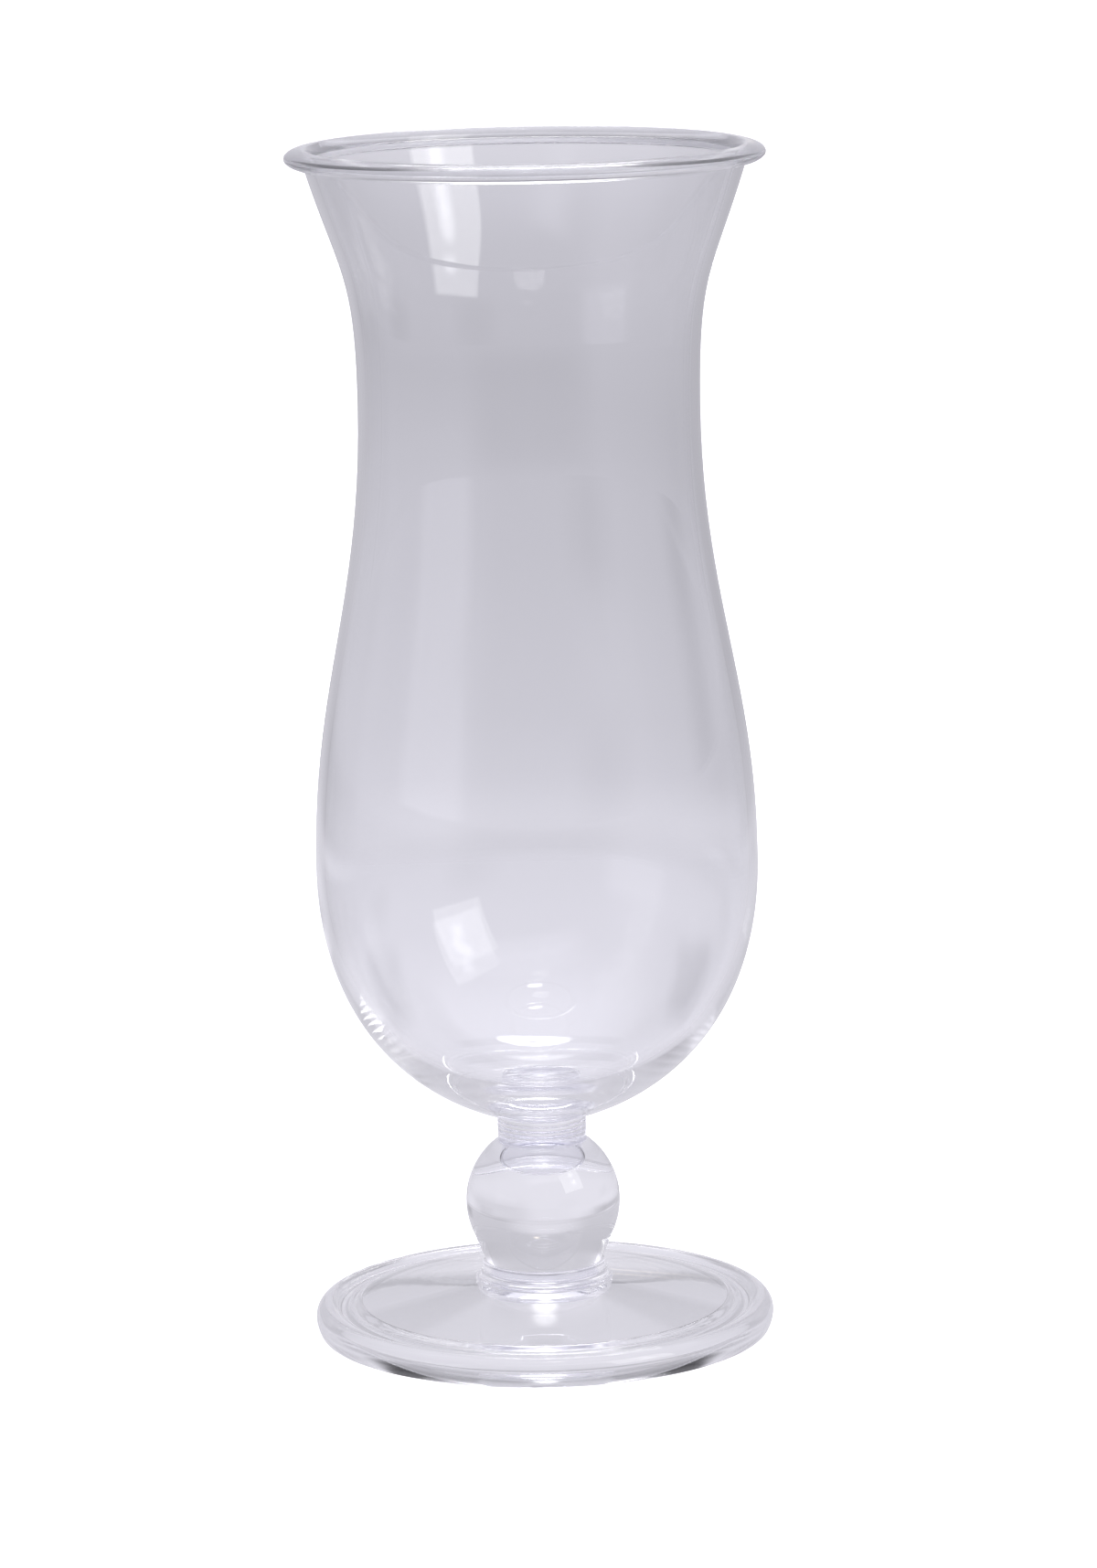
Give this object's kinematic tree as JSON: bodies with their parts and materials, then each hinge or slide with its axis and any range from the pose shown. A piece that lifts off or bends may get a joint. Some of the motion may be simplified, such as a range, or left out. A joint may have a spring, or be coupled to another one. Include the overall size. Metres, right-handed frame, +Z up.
{
  "type": "hurricane glass",
  "caption": "Tall clear stemmed drinking glass with a flared rim, narrow throat, round belly, ball knop and wide round foot, for mixed drinks.",
  "frame": {"origin": "on the table at the centre of the foot", "axes": "+Z up along the axis of the glass; the glass is round, so X and Y are free"},
  "size_m": [0.0814, 0.0814, 0.206],
  "materials": {
    "bowl_plastic": "clear blow-moulded plastic, polished",
    "stem_plastic": "clear injection-moulded plastic, polished",
    "cement": "clear set cement"
  },
  "bodies": {
    "root": {"bowl": "bowl_plastic", "upper_bond": "cement", "knop": "stem_plastic", "lower_bond": "cement", "foot": "stem_plastic"}
  },
  "joints": []
}
